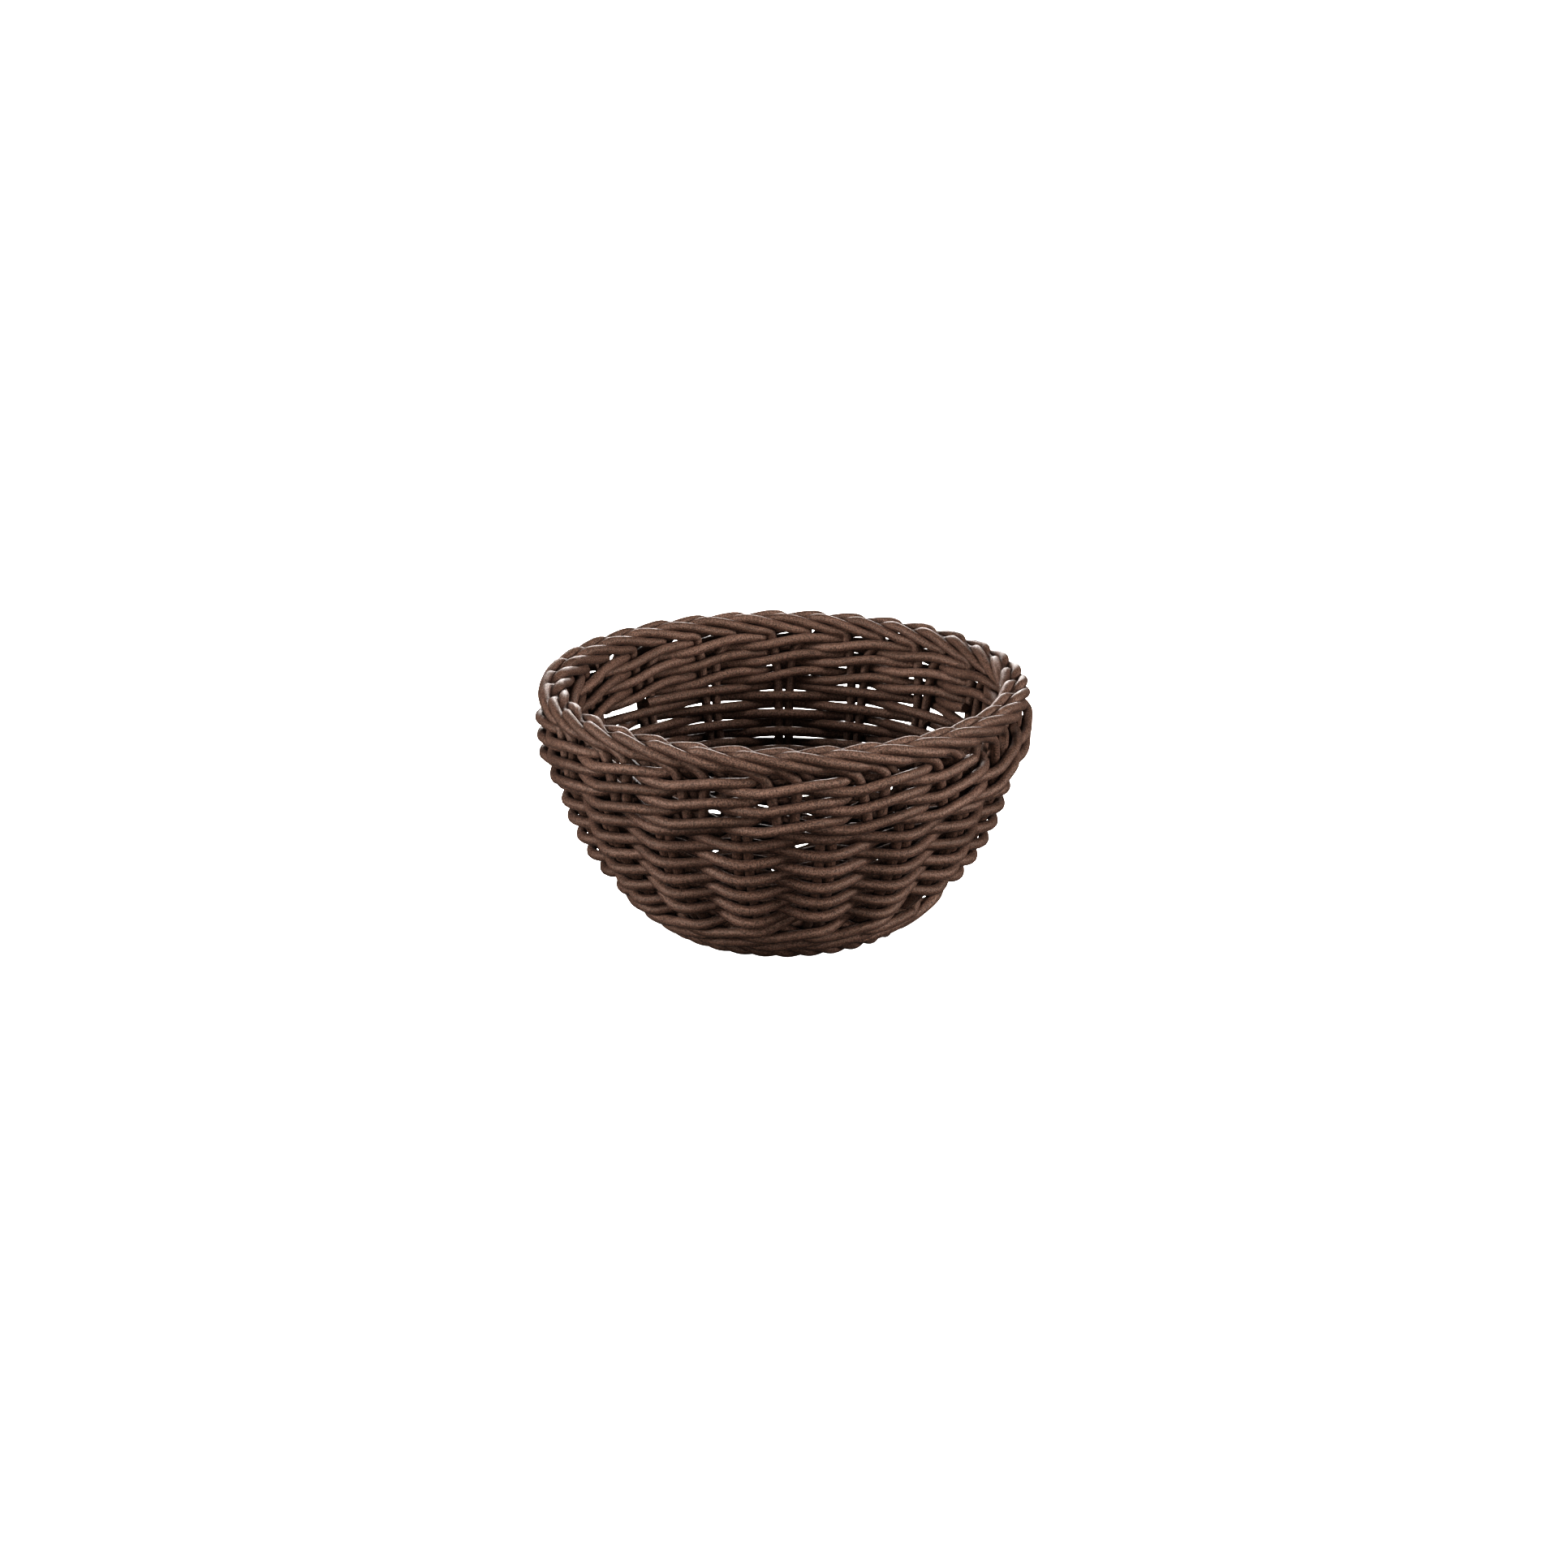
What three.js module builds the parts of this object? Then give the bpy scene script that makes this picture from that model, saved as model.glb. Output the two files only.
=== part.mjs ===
// A round fruit basket woven from polypropylene cane, standing on its woven foot.
//
// Seventeen pairs of stakes rise from a rolled foot border, carry the weaving of the bowl
// and roll over each other into the rim border, and their ends are tucked down inside the
// rim waling. Lengths are millimetres, angles are degrees. +Z is up, -Y is the front, and
// the origin lies under the middle of the foot. An azimuth runs from the front towards +X.
//
// Every cane is drawn as a square bar slimmer than the real round cane, along the cane's
// true centre line, so that canes which press on each other keep a small gap.

import * as THREE from 'three';

// ---- Driving dimensions ----
const BAR_HALF = 1.35;            // half the side of the bar that stands for a 4 mm cane
const LAYER = 4;                  // from one layer of canes to the next, along the wall's normal

const PAIRS = 17;                 // pairs of stakes; an odd number lets one weaver go round and round
const PITCH = 360 / PAIRS;        // azimuth from pair to pair
const STAKE_PITCH = PITCH / 2;    // azimuth from strand to strand in the two borders

const WALL_TOP = 91;              // height where the wall meets the rim border
const RIM_RADIUS = 88.9;          // wall radius there, at the middle of the stakes
const WALL_LEAN = 0.05;           // outward lean of the straight upper wall
const WALL_FLARE = 45.3;          // how far the bowl draws in towards its foot
const WALL_POWER = 2.9;           // how late that drawing in begins

const PAIR_HALF = 2.15;           // half the distance between the two stakes of a pair
const SPREAD_FROM = 66;           // height above which the two stakes spread apart
const SPREAD_RATE = 0.1;          // spread of each stake for each millimetre of height

const SEAM_PAIR = 4;              // every weaver starts at this pair, on the basket's right side
const BACK_RISE = 1.7;            // how much higher the upper rows lie at the back than at the front

const RANDING_Z = 23.2;           // height of the first round of plain weaving
const RANDING_PITCH = 3.58;       // rise of the plain weaving in one round
const RANDING_PAIRS = 211;        // pairs that the plain weaver passes, over twelve rounds
const RANDING_FLAT = 3.3;         // half the stretch that lies flat against a pair

const RIM_WALE = { name: 'rim_wale', z: 71.6, pitch: 7.6, rows: 3 };
const FOOT_WALE = { name: 'foot_wale', z: 13, pitch: 5.8, rows: 2 };
const STEP_PAIRS = 2;             // a row steps up to the next one over this many pairs

const RIM_CENTRE = { r: 91.6, z: 95.5 };  // the rim border winds around this circle
const RIM_TIP_LEAD = 3.6;         // from a pair's middle to the tip of its second stake
const TUCK_OFF = 4.3;             // tucked ends lie this far outside the stakes

const FOOT_RUN = 30;              // azimuth that a stake travels in the foot border
const FOOT_OUT = 52.3;            // largest radius of the foot border's canes
const FOOT_IN = 43.5;             // radius where they end, under the base

const BASE_Z = 9;                 // middle height of the woven base
const BASE_RADIUS = 48;           // length of the base sticks from the middle
const STICK_PITCH = 4.2;          // spacing of the four sticks of one arm of the base's cross
const FAN_RADIUS = 23;            // beyond this radius the base sticks point straight outwards
const BASE_WEAVE = { from: 28, pitch: 4.2, rounds: 4.3, flat: 1.6 };
const ODD_STICK_FROM = 26.5;      // the odd stick is pushed in beside the binding
const BINDING = { from: 17, pitch: 4.2, turns: 2, margin: 3.4, lift: 5.9 };

// ---- The wall's shape ----
const radians = THREE.MathUtils.degToRad;
const degrees = THREE.MathUtils.radToDeg;

function polar(azimuth, radius, z) {
  const angle = radians(azimuth);
  return new THREE.Vector3(radius * Math.sin(angle), -radius * Math.cos(angle), z);
}

function wallRadius(z) {
  return RIM_RADIUS - WALL_LEAN * (WALL_TOP - z) - WALL_FLARE * (1 - z / WALL_TOP) ** WALL_POWER;
}

function wallSlope(z) {
  const bend = WALL_FLARE * WALL_POWER / WALL_TOP;
  return WALL_LEAN + bend * (1 - z / WALL_TOP) ** (WALL_POWER - 1);
}

// A point off the stakes' surface by `off` along its normal, and `up` along its slope.
function onWall(azimuth, z, off = 0, up = 0) {
  const slope = wallSlope(z);
  const length = Math.hypot(1, slope);
  const radius = wallRadius(z) + (off + up * slope) / length;
  return polar(azimuth, radius, z + (up - off * slope) / length);
}

// How much higher than at the front a row of weaving lies. Outside the bowl this fades out
// sooner towards the rim than inside.
function rowRise(azimuth, z, off) {
  const fade = off < LAYER ? (96 - z) / 16 : (86.8 - z) / 15.2;
  const share = THREE.MathUtils.clamp(Math.min((z - 44) / 22, fade), 0, 1);
  return BACK_RISE * share * (1 - Math.cos(radians(azimuth))) / 2;
}

function pairAzimuth(pair) {
  return PITCH * (pair + 0.5);
}

// Azimuth between a pair's middle and each of its stakes.
function stakeSpread(z) {
  const half = PAIR_HALF + SPREAD_RATE * Math.max(0, z - SPREAD_FROM);
  return degrees(half / wallRadius(z));
}

// ---- Solids ----

// The straight-line route through a cane's points, with one section at each point.
class CaneRoute extends THREE.Curve {
  constructor(points, level) {
    super();
    this.points = points;
    this.level = level;
  }

  getPoint(t, target = new THREE.Vector3()) {
    const place = t * (this.points.length - 1);
    const index = Math.min(Math.floor(place), this.points.length - 2);
    return target.lerpVectors(this.points[index], this.points[index + 1], place - index);
  }

  getUtoTmapping(u) {
    return u;
  }

  // A level cane keeps two of its faces upright; any other cane turns with its route.
  computeFrenetFrames(segments, closed) {
    if (!this.level) {
      return super.computeFrenetFrames(segments, closed);
    }
    const up = new THREE.Vector3(0, 0, 1);
    const frames = { tangents: [], normals: [], binormals: [] };
    for (let i = 0; i <= segments; i += 1) {
      const tangent = this.getTangentAt(i / segments);
      const normal = new THREE.Vector3().crossVectors(tangent, up).normalize();
      frames.tangents.push(tangent);
      frames.normals.push(normal);
      frames.binormals.push(new THREE.Vector3().crossVectors(tangent, normal));
    }
    return frames;
  }
}

const barSection = new THREE.Shape([
  new THREE.Vector2(-BAR_HALF, -BAR_HALF),
  new THREE.Vector2(BAR_HALF, -BAR_HALF),
  new THREE.Vector2(BAR_HALF, BAR_HALF),
  new THREE.Vector2(-BAR_HALF, BAR_HALF),
]);

function cane(name, points, color, level = true) {
  const extrudePath = new CaneRoute(points, level);
  const geometry = new THREE.ExtrudeGeometry(barSection, { steps: points.length - 1, extrudePath });
  const material = new THREE.MeshStandardMaterial({ color, roughness: 0.62, metalness: 0 });
  const mesh = new THREE.Mesh(geometry, material);
  mesh.name = name;
  return mesh;
}

const numbered = (name, index) => `${name}_${String(index + 1).padStart(2, '0')}`;

// ---- Stakes, with the foot border, the rim border and the tucked ends ----

const UPRIGHT_Z = [13, 22, 32, 44, 58, 72];

// From the cane's end under the base, out to the foot's edge and up its outside.
function footRoute(topAzimuth) {
  return [
    polar(topAzimuth + FOOT_RUN, FOOT_IN, BAR_HALF),
    polar(topAzimuth + FOOT_RUN * 0.75, FOOT_IN + 3.7, BAR_HALF),
    polar(topAzimuth + FOOT_RUN / 2, FOOT_OUT - 2, BAR_HALF),
    polar(topAzimuth + FOOT_RUN / 4, FOOT_OUT, 5),
    polar(topAzimuth, FOOT_OUT - 0.8, 8.6),
  ];
}

// How a stake winds from its tip, inside the rim, over the top and down the outside: azimuth
// travelled, angle around the rim's circle and distance from it.
const RIM_WINDING = [
  [0, 225, 4.2], [5, 198, 4.3], [10, 170, 4.2], [14, 146, 4.1], [18, 126, 3.8],
  [20.5, 106, 2.2], [23.5, 60, 0.5], [26.5, 86, 1.1], [29.5, 52, 3.8], [33, 38, 4.3],
  [38, 13, 4.3], [42.5, -14, 4.3], [46.5, -44, 4.2],
];

function rimRoute(tipAzimuth) {
  return RIM_WINDING.map(([travel, turn, away]) => polar(
    tipAzimuth + travel,
    RIM_CENTRE.r + away * Math.cos(radians(turn)),
    RIM_CENTRE.z + away * Math.sin(radians(turn)),
  ));
}

// Down the outside behind the rim waling, in a gap between two pairs. Both stakes of a pair
// go into the same gap: the first slants across it, the second drops straight.
function tuckRoute(gapAzimuth, slanting) {
  const lean = slanting ? [-6.4, -4.1, -2.1, -1.0] : [0.5, 2.7, 2.3, 2.1];
  const cutZ = slanting ? 69.3 : 68.9;
  return [
    polar(gapAzimuth + lean[0], 94.2, 91.4),
    onWall(gapAzimuth + lean[1], 88.8, TUCK_OFF),
    onWall(gapAzimuth + lean[2], 77.5, TUCK_OFF),
    onWall(gapAzimuth + lean[3], cutZ, TUCK_OFF),
  ];
}

function stakeRoute(pair, side) {
  const middle = pairAzimuth(pair);
  const gap = pairAzimuth(pair + 2.5);
  const foot = footRoute(middle + 2 + side * STAKE_PITCH / 2);
  const uprights = UPRIGHT_Z.map((z) => onWall(middle + side * stakeSpread(z), z));
  if (side > 0) {
    const shoulders = [onWall(middle + stakeSpread(84), 84), polar(middle + 3.3, 88.8, 89.6)];
    const rim = rimRoute(middle + RIM_TIP_LEAD);
    return [...foot, ...uprights, ...shoulders, ...rim, ...tuckRoute(gap, false)];
  }
  const shoulders = [onWall(middle - stakeSpread(83), 83), onWall(middle - 5, 88.8, -0.6)];
  const rim = rimRoute(middle + RIM_TIP_LEAD - STAKE_PITCH);
  return [...foot, ...uprights, ...shoulders, ...rim, ...tuckRoute(gap, true)];
}

function makeStakes(group) {
  for (let pair = 0; pair < PAIRS; pair += 1) {
    for (const side of [-1, 1]) {
      const index = 2 * pair + (side + 1) / 2;
      group.add(cane(numbered('stake', index), stakeRoute(pair, side), '#4a3128', false));
    }
  }
}

// ---- The plain weaving of the bowl: one cane, outside one pair and inside the next ----
// Its end is left inside the bowl, after passing inside two pairs in a row.

function makeWallWeaver(group) {
  const points = [];
  for (let step = 0; step < RANDING_PAIRS; step += 1) {
    const azimuth = pairAzimuth(SEAM_PAIR + step);
    const level = RANDING_Z + RANDING_PITCH * step / PAIRS;
    const off = step % 2 === 0 && step < RANDING_PAIRS - 1 ? LAYER : -LAYER;
    const z = level + rowRise(azimuth, level, off);
    const flat = degrees(RANDING_FLAT / wallRadius(z));
    const climb = RANDING_PITCH * flat / 360;
    points.push(onWall(azimuth - flat, z - climb, off), onWall(azimuth + flat, z + climb, off));
  }
  group.add(cane('wall_weaver', points, '#553a2f'));
}

// ---- Waling: three canes, each outside two pairs and inside the third ----

// One repeat of a wale cane: `at` in pairs, `off` along the wall's normal, `up` its slope.
const RIM_REPEAT = [
  { at: 0.25, off: 8.2, up: -1.5 },
  { at: 0.5, off: 8.4, up: 0 },
  { at: 0.75, off: 8.2, up: 1.5 },
  { at: 1.14, off: 4.3, up: 1.4 },
  { at: 1.28, off: 0.35, up: 2.1 },
  { at: 1.7, off: -3.8, up: 2.8 },
  { at: 2, off: -LAYER, up: 1.3 },
  { at: 2.3, off: -3.8, up: -0.6 },
  { at: 2.7, off: 0.8, up: -1.8 },
  { at: 2.85, off: 4.3, up: -1.8 },
];
const FOOT_REPEAT = [
  { at: 0.2, off: 5, up: -2 },
  { at: 0.8, off: 5, up: 2 },
  { at: 1.16, off: LAYER, up: 2.1 },
  { at: 1.84, off: -LAYER, up: 2.1 },
  { at: 2.16, off: -LAYER, up: -2.1 },
  { at: 2.84, off: LAYER, up: -2.1 },
];

// Height of a row after `travel` pairs: level, then a step up at the seam.
function rowHeight(wale, travel) {
  const row = THREE.MathUtils.clamp(Math.floor(travel / PAIRS), 0, wale.rows - 1);
  const left = (row + 1) * PAIRS - travel;
  const step = row < wale.rows - 1 ? THREE.MathUtils.clamp(1 - left / STEP_PAIRS, 0, 1) : 0;
  return wale.z + wale.pitch * (row + step);
}

// Each cane starts inside the bowl, one pair before its row.
function waleRoute(wale, repeat, start) {
  const end = wale.rows * PAIRS - STEP_PAIRS;
  const points = [];
  for (let first = start - 3; first < end; first += 3) {
    for (const { at, off, up } of repeat) {
      const travel = first + at;
      if (travel >= start - 1 && travel <= end) {
        const azimuth = pairAzimuth(SEAM_PAIR + travel);
        const level = rowHeight(wale, travel);
        points.push(onWall(azimuth, level + rowRise(azimuth, level, off), off, up));
      }
    }
  }
  return points;
}

function makeWale(group, wale, repeat) {
  ['a', 'b', 'c'].forEach((letter, start) => {
    group.add(cane(`${wale.name}_${letter}`, waleRoute(wale, repeat, start), '#5d4134'));
  });
}

// ---- The base: a cross of sticks, bound at its middle, with a weaver round its spokes ----

// The spokes that one arm of the cross fans out into, as pair numbers, in the sticks' order.
const ARM_SPOKES = {
  front: [-2, -1, 0, 1],
  right: [2, 3, 4, 5],
  back: [9, 8, 7, 6],
  left: [14, 13, 12, 11],
};
const ODD_SPOKE = 10;
const ARM_SPANS = { front: [-2, 1], right: [2, 5], back: [6, 10], left: [11, 14] };

function fan(pair) {
  const azimuth = pairAzimuth(pair);
  return [polar(azimuth, FAN_RADIUS, BASE_Z), polar(azimuth, BASE_RADIUS, BASE_Z)];
}

function makeBaseSticks(group) {
  const color = '#412b23';
  const edge = 11;
  const lift = LAYER / 2;
  for (let i = 0; i < 4; i += 1) {
    const across = STICK_PITCH * (i - 1.5);
    const long = [
      ...fan(ARM_SPOKES.front[i]).reverse(),
      new THREE.Vector3(across, -edge, BASE_Z + lift),
      new THREE.Vector3(across, edge, BASE_Z + lift),
      ...fan(ARM_SPOKES.back[i]),
    ];
    const cross = [
      ...fan(ARM_SPOKES.left[i]).reverse(),
      new THREE.Vector3(-edge, across, BASE_Z - lift),
      new THREE.Vector3(edge, across, BASE_Z - lift),
      ...fan(ARM_SPOKES.right[i]),
    ];
    group.add(cane(numbered('base_stick', i), long, color));
    group.add(cane(numbered('base_cross_stick', i), cross, color));
  }
  const azimuth = pairAzimuth(ODD_SPOKE);
  const odd = [polar(azimuth, ODD_STICK_FROM, BASE_Z), polar(azimuth, BASE_RADIUS, BASE_Z)];
  group.add(cane('base_odd_stick', odd, color));
}

// Two turns over the front and back arms of the cross and under its side arms.
function makeBaseBinding(group) {
  const arms = Object.values(ARM_SPANS);
  const points = [];
  for (let step = 0; step < BINDING.turns * arms.length; step += 1) {
    const [first, last] = arms[step % arms.length];
    const radius = BINDING.from + BINDING.pitch * step / arms.length;
    const z = BASE_Z + (step % 2 === 0 ? BINDING.lift : -BINDING.lift);
    points.push(
      polar(pairAzimuth(first - 0.5) + BINDING.margin, radius, z),
      polar(pairAzimuth(last + 0.5) - BINDING.margin, radius, z),
    );
  }
  group.add(cane('base_binding', points, '#553a2f'));
}

function makeBaseWeaver(group) {
  const points = [];
  const steps = Math.round(BASE_WEAVE.rounds * PAIRS);
  for (let step = 0; step < steps; step += 1) {
    const azimuth = pairAzimuth(step);
    const radius = BASE_WEAVE.from + BASE_WEAVE.pitch * step / PAIRS;
    const z = BASE_Z + (step % 2 === 0 ? LAYER : -LAYER) * 0.9;
    const flat = degrees(BASE_WEAVE.flat / radius);
    points.push(polar(azimuth - flat, radius, z), polar(azimuth + flat, radius, z));
  }
  group.add(cane('base_weaver', points, '#553a2f'));
}

function makeBasket() {
  const basket = new THREE.Group();
  makeStakes(basket);
  makeWallWeaver(basket);
  makeWale(basket, RIM_WALE, RIM_REPEAT);
  makeWale(basket, FOOT_WALE, FOOT_REPEAT);
  makeBaseSticks(basket);
  makeBaseBinding(basket);
  makeBaseWeaver(basket);
  return basket;
}

export default makeBasket();
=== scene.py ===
"""A round fruit basket woven from dark brown synthetic cane, on a plain pale floor.

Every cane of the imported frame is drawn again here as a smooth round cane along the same
route, and stands for its own CAD bar. Routes are worked out in millimetres and degrees, as
a weaver would describe them, and meshes are made in metres. An azimuth runs from the front
(-Y) towards +X.
"""

import math
import random

import bpy
import numpy as np
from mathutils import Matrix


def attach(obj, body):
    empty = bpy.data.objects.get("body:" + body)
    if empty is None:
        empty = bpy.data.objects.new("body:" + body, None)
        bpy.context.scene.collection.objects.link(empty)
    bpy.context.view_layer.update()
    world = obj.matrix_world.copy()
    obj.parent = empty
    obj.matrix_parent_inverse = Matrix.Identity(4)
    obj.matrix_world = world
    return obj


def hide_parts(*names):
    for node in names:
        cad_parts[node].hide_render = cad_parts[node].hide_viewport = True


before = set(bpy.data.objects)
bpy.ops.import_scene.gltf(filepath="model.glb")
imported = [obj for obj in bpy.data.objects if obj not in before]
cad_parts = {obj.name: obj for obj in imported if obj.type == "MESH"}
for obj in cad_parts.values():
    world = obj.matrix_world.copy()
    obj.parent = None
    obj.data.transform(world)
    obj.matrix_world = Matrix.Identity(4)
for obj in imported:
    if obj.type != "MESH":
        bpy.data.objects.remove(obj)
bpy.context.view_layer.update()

MM = 0.001

# ---- The basket's driving dimensions, in millimetres and degrees ----
PAIRS = 17                     # pairs of stakes
PITCH = 360 / PAIRS            # from pair to pair
STAKE_PITCH = PITCH / 2        # from strand to strand in the two borders
LAYER = 4.0                    # from one layer of canes to the next

WALL_TOP = 91.0                # height where the wall meets the rim border
RIM_RADIUS = 88.9              # wall radius there, at the middle of the stakes
WALL_LEAN = 0.05               # outward lean of the straight upper wall
WALL_FLARE = 45.3              # how far the bowl draws in towards its foot
WALL_POWER = 2.9               # how late that drawing in begins

PAIR_HALF = 2.15               # half the distance between the two stakes of a pair
SPREAD_FROM, SPREAD_RATE = 66.0, 0.1   # the two stakes spread apart above this height
UPRIGHT_Z = (13, 22, 32, 44, 58, 72)   # heights that a stake's route passes in the wall
SEAM_PAIR = 4                  # every weaver starts at this pair
BACK_RISE = 1.7                # how much higher the upper rows lie at the back than at the front
RISE_FROM, RISE_RUN = 44, 22   # that rise grows in from this height over this many millimetres
INNER_FADE = (96, 16)          # height where it is gone inside the stakes, and the run before
OUTER_FADE = (86.8, 15.2)      # the same outside the stakes

RANDING_Z, RANDING_PITCH = 23.2, 3.58  # first round of the plain weaving, and its rise
RANDING_PAIRS = 211            # pairs that the plain weaver passes
RANDING_FLAT = 3.3             # half the stretch that lies flat against a pair

RIM_WALE_Z, RIM_WALE_PITCH, RIM_WALE_ROWS = 71.6, 7.6, 3
FOOT_WALE_Z, FOOT_WALE_PITCH, FOOT_WALE_ROWS = 13.0, 5.8, 2
STEP_PAIRS = 2                 # a row steps up to the next one over this many pairs

RIM_CENTRE = (91.6, 95.5)      # radius and height of the circle the rim border winds around
RIM_TIP_LEAD = 3.6             # from a pair's middle to the tip of its second stake
# How a stake winds from its tip, inside the rim, to the outside: azimuth travelled, angle
# around the rim's circle and distance from it. It dips once, under its neighbours.
RIM_WINDING = (
    (0, 225, 4.2), (5, 198, 4.3), (10, 170, 4.2), (14, 146, 4.1), (18, 126, 3.8),
    (20.5, 106, 2.2), (23.5, 60, 0.5), (26.5, 86, 1.1), (29.5, 52, 3.8), (33, 38, 4.3),
    (38, 12, 4.3), (42.5, -10, 4.3), (45.5, -27, 4.0), (47.5, -48, 3.0),
)
TUCK_OFF = 4.3                 # tucked ends lie this far outside the stakes

FOOT_RUN = 30.0                # azimuth that a stake travels in the foot border
FOOT_OUT, FOOT_IN = 52.3, 43.5  # the foot border's largest radius, and where its canes end
FOOT_LIFT = 0.2                # keeps a cane's small swellings above the ground

BASE_Z, BASE_RADIUS = 9.0, 48.0
ARM_STICKS = 4                 # sticks in one arm of the base's cross
STICK_PITCH = 4.2              # their spacing
CROSS_EDGE = 11.0              # half the length over which an arm's sticks lie side by side
FAN_RADIUS = 23.0              # beyond this the base sticks point straight outwards
ODD_STICK_FROM = 26.5          # the odd stick is pushed in beside the binding
# The base's weaver: first radius, growth in one round, rounds, half the stretch that lies flat,
# and how far from the middle of the sticks it lies, as a share of a layer.
WEAVE_FROM, WEAVE_PITCH, WEAVE_ROUNDS, WEAVE_FLAT, WEAVE_SHARE = 28.0, 4.2, 4.3, 1.6, 0.9
# Its binding: first radius, growth in one turn, turns, azimuth kept clear of a corner, lift.
BIND_FROM, BIND_PITCH, BIND_TURNS, BIND_MARGIN, BIND_LIFT = 17.0, 4.2, 2, 3.4, 4.6

# ---- The cane ----
STAKE_R, WEAVER_R, WALE_R, BASE_R = 1.98, 2.12, 2.06, 1.95   # radii of the round canes
ROUTE_STEPS = 12               # points worked out between two points of a route
RING_STEP = 1.5                # distance between the rings of a cane's mesh
RING_SIDES = 14
END_RINGS = ((0.0, 0.9), (0.2, 1.0))   # a cut end's rings: distance from the end, relative radius
END_MARGIN = 0.4               # the even rings stay this far from the end's
SWELL = 0.008                  # how much a cane's radius swells and shrinks along it
SWELL_WAVES = (3.1, 7.7, 17.0)
GRAIN_START = 4000             # each cane's grain starts somewhere within this length


# ---- Places on the basket ----
def polar(azimuth, radius, z):
    angle = math.radians(azimuth)
    return np.array((radius * math.sin(angle), -radius * math.cos(angle), z))


def wall_radius(z):
    draw_in = max(0.0, 1 - z / WALL_TOP) ** WALL_POWER
    return RIM_RADIUS - WALL_LEAN * (WALL_TOP - z) - WALL_FLARE * draw_in


def wall_slope(z):
    bend = WALL_FLARE * WALL_POWER / WALL_TOP
    return WALL_LEAN + bend * max(0.0, 1 - z / WALL_TOP) ** (WALL_POWER - 1)


def on_wall(azimuth, z, off=0.0, up=0.0):
    """A point off the stakes' surface by `off` along its normal and `up` along its slope."""
    slope = wall_slope(z)
    length = math.hypot(1, slope)
    radius = wall_radius(z) + (off + up * slope) / length
    return polar(azimuth, radius, z + (up - off * slope) / length)


def row_rise(azimuth, z, off):
    """How much higher than at the front a row of weaving lies. It fades out at the rim."""
    gone, run = INNER_FADE if off < LAYER else OUTER_FADE
    share = min(max(min((z - RISE_FROM) / RISE_RUN, (gone - z) / run), 0), 1)
    return BACK_RISE * share * (1 - math.cos(math.radians(azimuth))) / 2


def pair_azimuth(pair):
    return PITCH * (pair + 0.5)


def stake_spread(z):
    """Azimuth between a pair's middle and each of its stakes."""
    half = PAIR_HALF + SPREAD_RATE * max(0.0, z - SPREAD_FROM)
    return math.degrees(half / wall_radius(z))


# ---- Round canes ----
def smooth_route(points):
    """A centripetal Catmull-Rom curve through the points, with even steps along it."""
    points = np.array(points, dtype=float)
    points = np.vstack((2 * points[0] - points[1], points, 2 * points[-1] - points[-2]))
    path = []
    for p0, p1, p2, p3 in zip(points, points[1:], points[2:], points[3:]):
        t1 = math.sqrt(np.linalg.norm(p1 - p0))
        t2 = t1 + math.sqrt(np.linalg.norm(p2 - p1))
        t3 = t2 + math.sqrt(np.linalg.norm(p3 - p2))
        t = np.linspace(t1, t2, ROUTE_STEPS, endpoint=False)[:, None]
        a1 = (p0 * (t1 - t) + p1 * t) / t1
        a2 = (p1 * (t2 - t) + p2 * (t - t1)) / (t2 - t1)
        a3 = (p2 * (t3 - t) + p3 * (t - t2)) / (t3 - t2)
        b1 = (a1 * (t2 - t) + a2 * t) / t2
        b2 = (a2 * (t3 - t) + a3 * (t - t1)) / (t3 - t1)
        path.append((b1 * (t2 - t) + b2 * (t - t1)) / (t2 - t1))
    path = np.vstack(path + [points[-2]])
    along = np.concatenate(([0], np.cumsum(np.linalg.norm(np.diff(path, axis=0), axis=1))))
    even = np.linspace(0, along[-1], max(4, round(along[-1] / RING_STEP)))
    return np.stack([np.interp(even, along, path[:, i]) for i in range(3)], axis=1)


def ring_frames(path):
    """Tangent and two side directions at each point, turning as little as possible."""
    tangents = np.gradient(path, axis=0)
    tangents /= np.linalg.norm(tangents, axis=1)[:, None]
    side = np.cross(tangents[0], (0.0, 0.0, 1.0))
    if np.linalg.norm(side) < 0.1:
        side = np.cross(tangents[0], (1.0, 0.0, 0.0))
    sides = []
    for tangent in tangents:
        side = side - tangent * np.dot(side, tangent)
        side = side / np.linalg.norm(side)
        sides.append(side)
    sides = np.array(sides)
    return tangents, sides, np.cross(tangents, sides)


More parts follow.
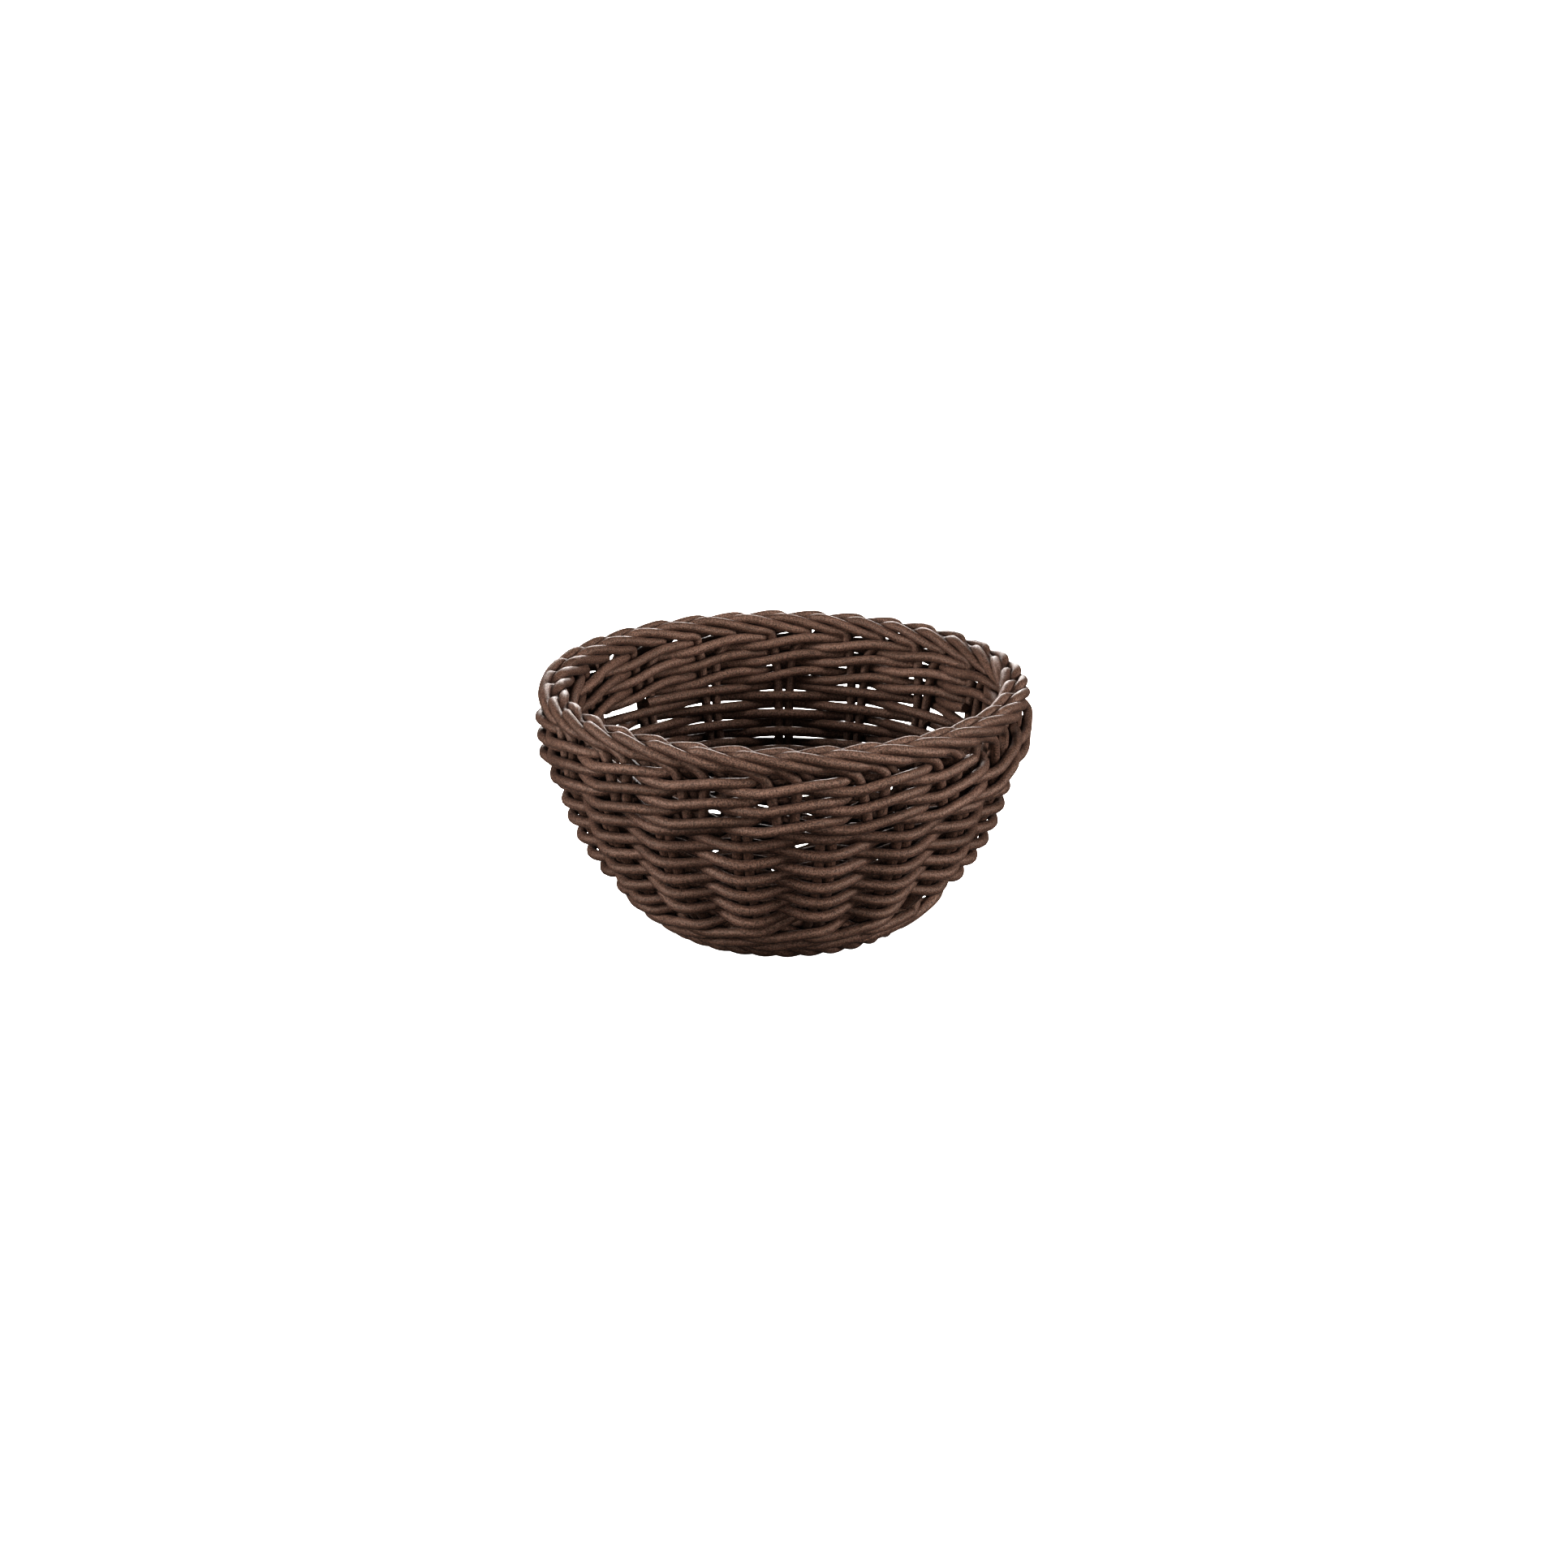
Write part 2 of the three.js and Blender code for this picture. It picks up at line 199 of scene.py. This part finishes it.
def make_cane(name, points, radius, slot, node):
    """One closed round cane, riding on the basket in place of its CAD bar."""
    rng = random.Random(name)
    path = smooth_route(points)
    tangents, sides, others = ring_frames(path)
    length = RING_STEP * (len(path) - 1)
    along = np.linspace(0, length, len(path))

    end_at, end_scale = np.array(END_RINGS).T
    clear = end_at[-1] + END_MARGIN
    inner = along[(along > clear) & (along < length - clear)]
    stations = np.concatenate((end_at, inner, length - end_at[::-1]))
    scales = np.concatenate((end_scale, np.ones(len(inner)), end_scale[::-1]))

    def at(values):
        return np.stack([np.interp(stations, along, values[:, i]) for i in range(3)], axis=1)

    phases = [rng.uniform(0, math.tau) for _ in SWELL_WAVES]
    swell = sum(np.sin(stations / wave + phase) for wave, phase in zip(SWELL_WAVES, phases))
    radii = radius * scales * (1 + SWELL * swell)
    turn = np.linspace(0, math.tau, RING_SIDES, endpoint=False)
    centre, side, other = at(path), at(sides), at(others)
    ring = (side[:, None, :] * np.cos(turn)[None, :, None]
            + other[:, None, :] * np.sin(turn)[None, :, None])
    vertices = (centre[:, None, :] + ring * radii[:, None, None]).reshape(-1, 3) * MM

    faces = []
    for i in range(len(stations) - 1):
        for j in range(RING_SIDES):
            k = (j + 1) % RING_SIDES
            a, b = i * RING_SIDES, (i + 1) * RING_SIDES
            faces.append((a + j, a + k, b + k, b + j))
    last_ring = (len(stations) - 1) * RING_SIDES
    faces.append(tuple(range(RING_SIDES - 1, -1, -1)))
    faces.append(tuple(last_ring + j for j in range(RING_SIDES)))

    mesh = bpy.data.meshes.new(name)
    mesh.from_pydata(vertices.tolist(), [], faces)
    smooth = np.ones(len(faces), dtype=bool)
    smooth[-2:] = False
    mesh.polygons.foreach_set("use_smooth", smooth)

    # Where each point lies on its own cane, for the grain that runs along it.
    run, angle = np.meshgrid(rng.uniform(0, GRAIN_START) + stations, turn, indexing="ij")
    grain = np.stack((radius * np.cos(angle), radius * np.sin(angle), run), axis=2).reshape(-1)
    mesh.attributes.new("on_cane", "FLOAT_VECTOR", "POINT").data.foreach_set("vector", grain)
    mesh.update()

    piece = bpy.data.objects.new(name, mesh)
    bpy.context.scene.collection.objects.link(piece)
    mesh.materials.append(cane_materials[slot])
    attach(piece, "root")
    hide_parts(node)


# ---- The cane's material ----
def cane_material(name, dark, light):
    """Satin extruded cane: a slow change of brown along it, fine grain and a soft sheen."""
    material = bpy.data.materials.new(name)
    material.use_nodes = True
    nodes, links = material.node_tree.nodes, material.node_tree.links
    shader = nodes["Principled BSDF"]
    on_cane = nodes.new("ShaderNodeAttribute")
    on_cane.attribute_name = "on_cane"

    def stretched(across, lengthwise):
        mapping = nodes.new("ShaderNodeMapping")
        mapping.inputs["Scale"].default_value = (across, across, lengthwise)
        links.new(on_cane.outputs["Vector"], mapping.inputs["Vector"])
        return mapping.outputs["Vector"]

    def noise(vector, scale, detail, roughness=0.5):
        node = nodes.new("ShaderNodeTexNoise")
        node.inputs["Scale"].default_value = scale
        node.inputs["Detail"].default_value = detail
        node.inputs["Roughness"].default_value = roughness
        links.new(vector, node.inputs["Vector"])
        return node.outputs["Fac"]

    def ramp(value, low, high, low_color, high_color):
        node = nodes.new("ShaderNodeValToRGB")
        node.color_ramp.elements[0].position = low
        node.color_ramp.elements[0].color = (*low_color, 1)
        node.color_ramp.elements[1].position = high
        node.color_ramp.elements[1].color = (*high_color, 1)
        links.new(value, node.inputs["Fac"])
        return node.outputs["Color"]

    def multiplied(amount, a, b):
        node = nodes.new("ShaderNodeMix")
        node.data_type = "RGBA"
        node.blend_type = "MULTIPLY"
        node.inputs["Factor"].default_value = amount
        links.new(a, node.inputs["A"])
        links.new(b, node.inputs["B"])
        return node.outputs["Result"]

    def bump(height, distance, strength, below=None):
        node = nodes.new("ShaderNodeBump")
        node.inputs["Distance"].default_value = distance
        node.inputs["Strength"].default_value = strength
        links.new(height, node.inputs["Height"])
        if below is not None:
            links.new(below, node.inputs["Normal"])
        return node.outputs["Normal"]

    whole = stretched(1, 1)
    batches = noise(stretched(0.02, 0.012), 1.0, 2)
    streaks = noise(stretched(1.6, 0.18), 1.0, 3, 0.6)
    speckle = noise(whole, 1.7, 4, 0.7)
    color = ramp(batches, 0.35, 0.65, dark, light)
    streak_tint = ramp(streaks, 0.3, 0.7, (0.62, 0.6, 0.6), (1.15, 1.12, 1.1))
    speckle_tint = ramp(speckle, 0.38, 0.62, (0.4, 0.38, 0.36), (1.6, 1.58, 1.54))
    color = multiplied(0.55, color, streak_tint)
    color = multiplied(1.0, color, speckle_tint)
    links.new(color, shader.inputs["Base Color"])
    links.new(ramp(speckle, 0.3, 0.7, (0.62,) * 3, (0.42,) * 3), shader.inputs["Roughness"])
    shader.inputs["Specular IOR Level"].default_value = 0.42
    shader.inputs["Specular Tint"].default_value = (1.0, 0.88, 0.8, 1)
    shader.inputs["Sheen Weight"].default_value = 0.03
    shader.inputs["Sheen Roughness"].default_value = 0.5
    grain = bump(speckle, 0.0003, 0.8)
    links.new(bump(streaks, 0.0002, 0.35, below=grain), shader.inputs["Normal"])
    return material


cane_materials = {
    "stake_cane": cane_material("stake_cane", (0.066, 0.041, 0.031), (0.102, 0.066, 0.052)),
    "weaver_cane": cane_material("weaver_cane", (0.070, 0.044, 0.0335), (0.108, 0.070, 0.0555)),
    "wale_cane": cane_material("wale_cane", (0.073, 0.046, 0.035), (0.112, 0.073, 0.058)),
    "base_cane": cane_material("base_cane", (0.058, 0.036, 0.027), (0.090, 0.058, 0.046)),
}


# ---- Stakes, with the foot border, the rim border and the tucked ends ----
def foot_route(top):
    """From the cane's end under the base, out to the foot's edge and up its outside."""
    floor = STAKE_R + FOOT_LIFT
    return [
        polar(top + FOOT_RUN, FOOT_IN, floor),
        polar(top + FOOT_RUN * 0.75, FOOT_IN + 3.7, floor),
        polar(top + FOOT_RUN / 2, FOOT_OUT - 2, floor + 0.2),
        polar(top + FOOT_RUN / 4, FOOT_OUT, 5.2),
        polar(top, FOOT_OUT - 0.8, 8.6),
    ]


def rim_route(tip, rng):
    """From the tip inside the rim, under the neighbours and down the outside."""
    centre_radius, centre_z = RIM_CENTRE
    grow = 1 + rng.uniform(-0.04, 0.04)
    points = []
    for travel, turn, away in RIM_WINDING:
        angle = math.radians(turn)
        points.append(polar(
            tip + travel,
            centre_radius + grow * away * math.cos(angle),
            centre_z + grow * away * math.sin(angle),
        ))
    return points


# A tucked end's azimuth, radius and height at its start, under the border, measured from the
# middle of its gap, its azimuths at three heights down the wall, and the height of its cut end.
SLANTING_TUCK = (((-9.6, 92.6, 92.7), (-6.4, 93.4, 91.3)), (-4.1, -2.1, -1.0), 69.3)
STRAIGHT_TUCK = (((0.5, 93.2, 91.6),), (2.7, 2.3, 2.1), 68.9)
TUCK_Z = (88.8, 77.5)          # the first two of those heights; the cut end is the third
GAP_AHEAD = 2.5                # pairs from a stake to the gap that takes its end
FOOT_LEAD = 2                  # azimuth from a pair to the middle of its two foot strands


def tuck_route(gap, tuck, rng):
    """Down the outside, behind the rim waling, in the gap between two pairs."""
    start, lean, cut_z = tuck
    sway = rng.uniform(-0.35, 0.35)
    heights = (*TUCK_Z, cut_z + rng.uniform(-1.0, 0.6))
    return [
        *(polar(gap + azimuth, radius, z) for azimuth, radius, z in start),
        *(on_wall(gap + a + sway, z, TUCK_OFF) for a, z in zip(lean, heights)),
    ]


def stake_route(pair, side, rng):
    """The whole of one stake, from its foot end to its tucked end."""
    middle = pair_azimuth(pair)
    gap = pair_azimuth(pair + GAP_AHEAD)
    sway = rng.uniform(-0.12, 0.12)
    uprights = [on_wall(middle + sway + side * stake_spread(z), z) for z in UPRIGHT_Z]
    foot = foot_route(middle + FOOT_LEAD + side * STAKE_PITCH / 2)
    if side > 0:
        shoulders = [on_wall(middle + stake_spread(84), 84), polar(middle + 3.3, 88.8, 89.6)]
        rim = rim_route(middle + RIM_TIP_LEAD, rng)
        return [*foot, *uprights, *shoulders, *rim, *tuck_route(gap, STRAIGHT_TUCK, rng)]
    shoulders = [on_wall(middle - stake_spread(83), 83), on_wall(middle - 5, 88.8, -0.6)]
    rim = rim_route(middle + RIM_TIP_LEAD - STAKE_PITCH, rng)
    return [*foot, *uprights, *shoulders, *rim, *tuck_route(gap, SLANTING_TUCK, rng)]


def make_stakes():
    for pair in range(PAIRS):
        for side in (-1, 1):
            node = f"stake_{2 * pair + (side + 1) // 2 + 1:02d}"
            rng = random.Random(node)
            make_cane(f"{node}_cane", stake_route(pair, side, rng), STAKE_R, "stake_cane", node)


# ---- The plain weaving of the bowl: outside one pair and inside the next ----
def make_wall_weaver():
    """One cane up the whole bowl; its last step stays inside, under the waling."""
    rng = random.Random("wall_weaver")
    points = []
    for step in range(RANDING_PAIRS):
        azimuth = pair_azimuth(SEAM_PAIR + step)
        level = RANDING_Z + RANDING_PITCH * step / PAIRS
        outside = step % 2 == 0 and step < RANDING_PAIRS - 1
        off = LAYER if outside else -LAYER
        z = level + row_rise(azimuth, level, off) + rng.uniform(-0.2, 0.2)
        off += rng.uniform(-0.12, 0.12)
        flat = math.degrees(RANDING_FLAT / wall_radius(z))
        climb = RANDING_PITCH * flat / 360
        points += [on_wall(azimuth - flat, z - climb, off), on_wall(azimuth + flat, z + climb, off)]
    make_cane("wall_weaver_cane", points, WEAVER_R, "weaver_cane", "wall_weaver")


# ---- Waling: three canes, each outside two pairs and inside the third ----
# One repeat of a wale cane: place in pairs, distance along the wall's normal and its slope.
RIM_REPEAT = (
    (0.25, 8.2, -1.5), (0.5, 8.4, 0.0), (0.75, 8.2, 1.5), (1.14, 4.3, 1.4), (1.28, 0.35, 2.1),
    (1.7, -3.8, 2.8), (2.0, -4.0, 1.3), (2.3, -3.8, -0.6), (2.7, 0.8, -1.8), (2.85, 4.3, -1.8),
)
FOOT_REPEAT = (
    (0.2, 5.0, -2.0), (0.8, 5.0, 2.0), (1.16, 4.0, 2.1), (1.84, -4.0, 2.1),
    (2.16, -4.0, -2.1), (2.84, 4.0, -2.1),
)


def row_height(z, pitch, rows, travel):
    """Height of a row after `travel` pairs: level, then a step up at the seam."""
    row = min(max(int(travel // PAIRS), 0), rows - 1)
    left = (row + 1) * PAIRS - travel
    step = min(max(1 - left / STEP_PAIRS, 0), 1) if row < rows - 1 else 0
    return z + pitch * (row + step)


def make_wale(name, z, pitch, rows, repeat):
    """Three canes, each of which starts inside the bowl, one pair before its row."""
    end = rows * PAIRS - STEP_PAIRS
    for start, letter in enumerate("abc"):
        node = f"{name}_{letter}"
        rng = random.Random(node)
        points = []
        for first in range(start - 3, end, 3):
            lift = rng.uniform(-0.15, 0.15)
            for at, off, up in repeat:
                travel = first + at
                if start - 1 <= travel <= end:
                    azimuth = pair_azimuth(SEAM_PAIR + travel)
                    level = row_height(z, pitch, rows, travel)
                    height = level + row_rise(azimuth, level, off)
                    points.append(on_wall(azimuth, height, off, up + lift))
        make_cane(f"{node}_cane", points, WALE_R, "wale_cane", node)


# ---- The base: a cross of sticks, bound at its middle, with a weaver round its spokes ----
# The spokes that each arm's four sticks fan out into, as pair numbers.
ARM_SPOKES = {
    "front": (-2, -1, 0, 1), "right": (2, 3, 4, 5), "back": (9, 8, 7, 6), "left": (14, 13, 12, 11),
}
ARM_SPANS = ((-2, 1), (2, 5), (6, 10), (11, 14))   # first and last spoke of each arm
ODD_SPOKE = 10


def fan(pair):
    """The straight outer part of a stick that ends between the pair's two stakes."""
    azimuth = pair_azimuth(pair)
    return [polar(azimuth, FAN_RADIUS, BASE_Z), polar(azimuth, BASE_RADIUS, BASE_Z)]


def make_base_sticks():
    upper, lower = BASE_Z + LAYER / 2, BASE_Z - LAYER / 2
    for i in range(ARM_STICKS):
        across = STICK_PITCH * (i - (ARM_STICKS - 1) / 2)
        long = [
            *reversed(fan(ARM_SPOKES["front"][i])),
            np.array((across, -CROSS_EDGE, upper)),
            np.array((across, CROSS_EDGE, upper)),
            *fan(ARM_SPOKES["back"][i]),
        ]
        crossing = [
            *reversed(fan(ARM_SPOKES["left"][i])),
            np.array((-CROSS_EDGE, across, lower)),
            np.array((CROSS_EDGE, across, lower)),
            *fan(ARM_SPOKES["right"][i]),
        ]
        for kind, route in (("base_stick", long), ("base_cross_stick", crossing)):
            node = f"{kind}_{i + 1:02d}"
            make_cane(f"{node}_cane", route, BASE_R, "base_cane", node)
    azimuth = pair_azimuth(ODD_SPOKE)
    odd = [polar(azimuth, ODD_STICK_FROM, BASE_Z), polar(azimuth, BASE_RADIUS, BASE_Z)]
    make_cane("base_odd_stick_cane", odd, BASE_R, "base_cane", "base_odd_stick")


def make_base_binding():
    """Two turns over the front and back arms of the cross and under its side arms."""
    points = []
    for step in range(BIND_TURNS * len(ARM_SPANS)):
        first, last = ARM_SPANS[step % len(ARM_SPANS)]
        radius = BIND_FROM + BIND_PITCH * step / len(ARM_SPANS)
        z = BASE_Z + (BIND_LIFT if step % 2 == 0 else -BIND_LIFT)
        points += [
            polar(pair_azimuth(first - 0.5) + BIND_MARGIN, radius, z),
            polar(pair_azimuth(last + 0.5) - BIND_MARGIN, radius, z),
        ]
    make_cane("base_binding_cane", points, BASE_R, "weaver_cane", "base_binding")


def make_base_weaver():
    """Plain weaving over one spoke and under the next, out towards the wall."""
    points = []
    for step in range(round(WEAVE_ROUNDS * PAIRS)):
        azimuth = pair_azimuth(step)
        radius = WEAVE_FROM + WEAVE_PITCH * step / PAIRS
        z = BASE_Z + (LAYER if step % 2 == 0 else -LAYER) * WEAVE_SHARE
        flat = math.degrees(WEAVE_FLAT / radius)
        points += [polar(azimuth - flat, radius, z), polar(azimuth + flat, radius, z)]
    make_cane("base_weaver_cane", points, BASE_R, "weaver_cane", "base_weaver")


# ---- The floor, the light and the camera, in metres ----
FLOOR_HALF = 4.0
LIT_POINT = (0, 0, 0.06)       # the softboxes face this point inside the basket
# Each softbox's place, its width and height, and its power.
SOFTBOXES = {
    "top_softbox": ((0, -0.3, 1.4), (0.7, 0.7), 9),
    "left_softbox": ((-1.25, -0.4, 0.5), (0.6, 0.6), 22),
    "right_softbox": ((1.25, -0.4, 0.5), (0.6, 0.6), 22),
    "front_softbox": ((0, -1.4, 0.4), (0.7, 0.3), 11),
    "back_softbox": ((0, 1.4, 0.4), (0.7, 0.3), 12),
}
CAMERA_DISTANCE = 1.122        # from the pivot
CAMERA_ELEVATION = 19.71
CAMERA_PIVOT_Z = 0.051
CAMERA_LENS, SENSOR_WIDTH = 63.8, 36
LOOK_AT = (0, 0, 0.0546)


def make_floor():
    """A wide pale sheet, bright enough to read as a white studio floor."""
    mesh = bpy.data.meshes.new("floor")
    corners = [(x * FLOOR_HALF, y * FLOOR_HALF, 0) for x, y in ((-1, -1), (1, -1), (1, 1), (-1, 1))]
    mesh.from_pydata(corners, [], [(0, 1, 2, 3)])
    floor = bpy.data.objects.new("floor", mesh)
    bpy.context.scene.collection.objects.link(floor)
    material = bpy.data.materials.new("pale_floor")
    material.use_nodes = True
    shader = material.node_tree.nodes["Principled BSDF"]
    shader.inputs["Base Color"].default_value = (0.3, 0.3, 0.3, 1)
    shader.inputs["Roughness"].default_value = 0.12
    shader.inputs["Specular IOR Level"].default_value = 0.4
    shader.inputs["Emission Color"].default_value = (1, 1, 1, 1)
    shader.inputs["Emission Strength"].default_value = 0.88
    mesh.materials.append(material)
    floor.visible_diffuse = False
    floor.visible_glossy = False


def softbox(name, position, size, power):
    light = bpy.data.lights.new(name, "AREA")
    light.shape = "RECTANGLE"
    light.size, light.size_y = size
    light.energy = power
    lamp = bpy.data.objects.new(name, light)
    lamp.location = position
    aim(lamp, LIT_POINT)
    bpy.context.scene.collection.objects.link(lamp)


def aim(thing, target):
    """Turns a lamp or camera so that it looks at the target."""
    direction = np.array(target) - np.array(thing.location)
    level = math.hypot(direction[0], direction[1])
    thing.rotation_euler = (
        math.atan2(level, -direction[2]), 0, math.atan2(-direction[0], direction[1]),
    )


def make_lights():
    """The softboxes, a faint warm fill, and a white backdrop that only the camera sees."""
    for name, (position, size, power) in SOFTBOXES.items():
        softbox(name, position, size, power)
    world = bpy.data.worlds.new("studio")
    bpy.context.scene.world = world
    world.use_nodes = True
    nodes, links = world.node_tree.nodes, world.node_tree.links
    fill = nodes["Background"]
    fill.inputs["Color"].default_value = (1, 0.97, 0.94, 1)
    fill.inputs["Strength"].default_value = 0.03
    backdrop = nodes.new("ShaderNodeBackground")
    backdrop.inputs["Color"].default_value = (1, 1, 1, 1)
    rays = nodes.new("ShaderNodeLightPath")
    either = nodes.new("ShaderNodeMixShader")
    links.new(rays.outputs["Is Camera Ray"], either.inputs["Fac"])
    links.new(fill.outputs["Background"], either.inputs[1])
    links.new(backdrop.outputs["Background"], either.inputs[2])
    links.new(either.outputs["Shader"], nodes["World Output"].inputs["Surface"])


def make_camera():
    camera = bpy.data.objects.new("camera", bpy.data.cameras.new("camera"))
    elevation = math.radians(CAMERA_ELEVATION)
    camera.location = (
        0,
        -CAMERA_DISTANCE * math.cos(elevation),
        CAMERA_PIVOT_Z + CAMERA_DISTANCE * math.sin(elevation),
    )
    aim(camera, LOOK_AT)
    camera.data.lens = CAMERA_LENS
    camera.data.sensor_width = SENSOR_WIDTH
    bpy.context.scene.collection.objects.link(camera)
    bpy.context.scene.camera = camera


make_camera()
make_stakes()
make_wall_weaver()
make_wale("rim_wale", RIM_WALE_Z, RIM_WALE_PITCH, RIM_WALE_ROWS, RIM_REPEAT)
make_wale("foot_wale", FOOT_WALE_Z, FOOT_WALE_PITCH, FOOT_WALE_ROWS, FOOT_REPEAT)
make_base_sticks()
make_base_binding()
make_base_weaver()
make_floor()
make_lights()
bpy.context.scene.view_settings.view_transform = "Standard"
bpy.context.scene.view_settings.look = "Very High Contrast"
